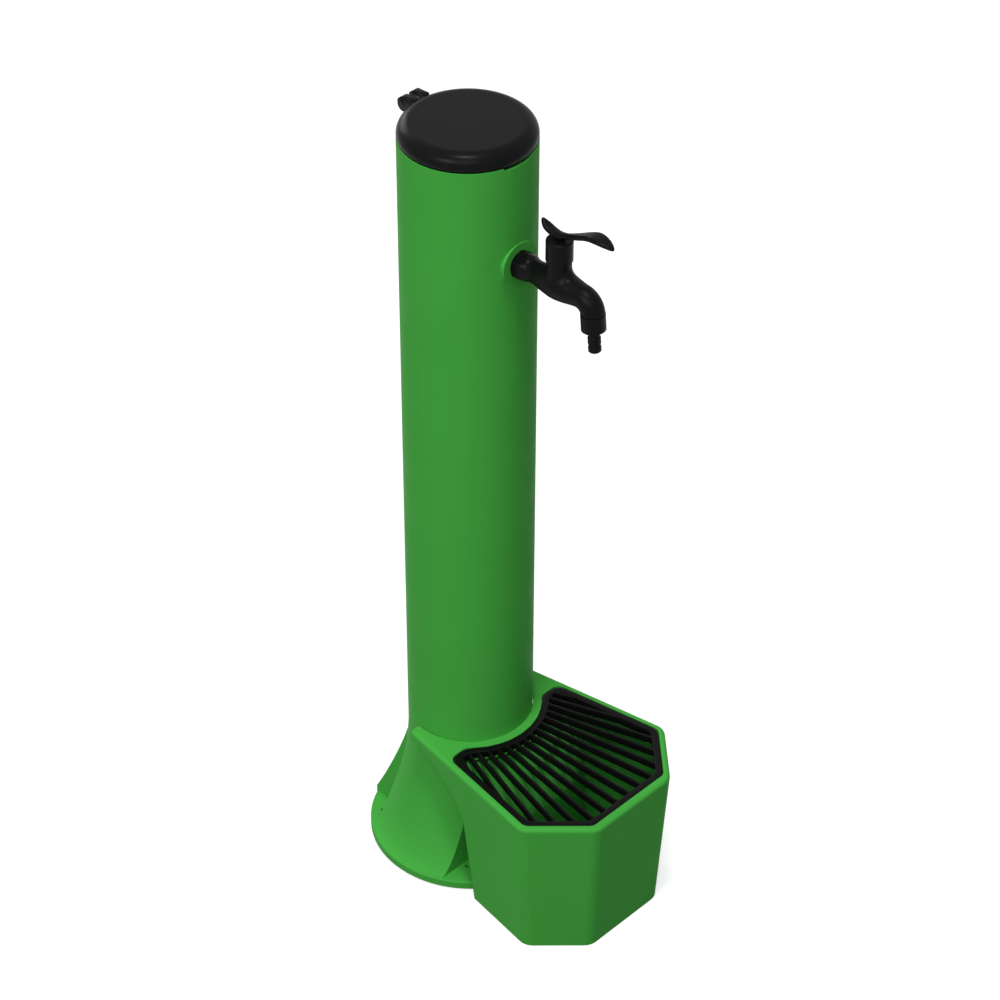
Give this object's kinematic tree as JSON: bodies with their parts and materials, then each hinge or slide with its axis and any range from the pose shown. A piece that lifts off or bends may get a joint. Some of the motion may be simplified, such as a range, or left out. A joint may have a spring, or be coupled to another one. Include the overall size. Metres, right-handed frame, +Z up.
{
  "type": "garden fountain with bucket",
  "caption": "Standing garden tap column with a trumpet foot, hinged lid, lever tap with hose stub, and a faceted bucket with a slotted grille that slides off the column",
  "frame": {"origin": "on the column's axis at floor level, in the middle of the round pipe entry in the foot", "axes": "+Z up along the column, -Y to the front where the tap and the bucket are, +X to the right seen from behind the column, which is the fountain's own left"},
  "size_m": [0.2468, 0.3876, 1.002],
  "materials": {
    "green": "green satin plastic with a fine grain",
    "black": "black satin plastic",
    "seal": "smooth black rubber",
    "fitting": "white moulded plastic",
    "disc": "polished white ceramic",
    "hose": "dark grey hose",
    "steel": "plain stainless steel",
    "brass": "plain turned brass"
  },
  "bodies": {
    "column": {"column_body": "green", "hinge_pin": "steel", "tap_gasket": "seal", "tap_body": "black", "back_washer": "seal", "back_nut": "fitting", "bonnet": "black", "valve_cartridge": "fitting", "seat_seal": "seal", "fixed_disc": "disc", "stem_seal": "seal", "outlet_adapter": "black", "outlet_washer": "seal", "riser_hose": "hose", "hose_clips": "steel", "tap_union": "fitting", "tap_union_washer": "seal", "inlet_fitting": "black", "inlet_nut": "black", "inlet_washer": "seal"},
    "lid": {"lid": "black"},
    "handle": {"tap_handle": "black", "spindle": "brass", "turning_disc": "disc"},
    "bucket": {"bucket": "green"},
    "grille": {"grille": "black"}
  },
  "joints": [
    {"name": "lid_hinge", "type": "hinge", "parent": "column", "child": "lid", "pos_m": [0, 0.083, 0.992], "axis": [-1, 0, 0], "range_deg": [0, 90]},
    {"name": "tap_turn", "type": "hinge", "parent": "column", "child": "handle", "pos_m": [0, -0.1336, 0.9], "axis": [0, 0, 1], "range_deg": [0, 90]},
    {"name": "bucket_pull", "type": "slide", "parent": "column", "child": "bucket", "axis": [0, -1, 0], "range_m": [0, 0.15]},
    {"name": "grille_lift", "type": "slide", "parent": "bucket", "child": "grille", "axis": [0, 0, 1], "range_m": [0, 0.05]}
  ]
}
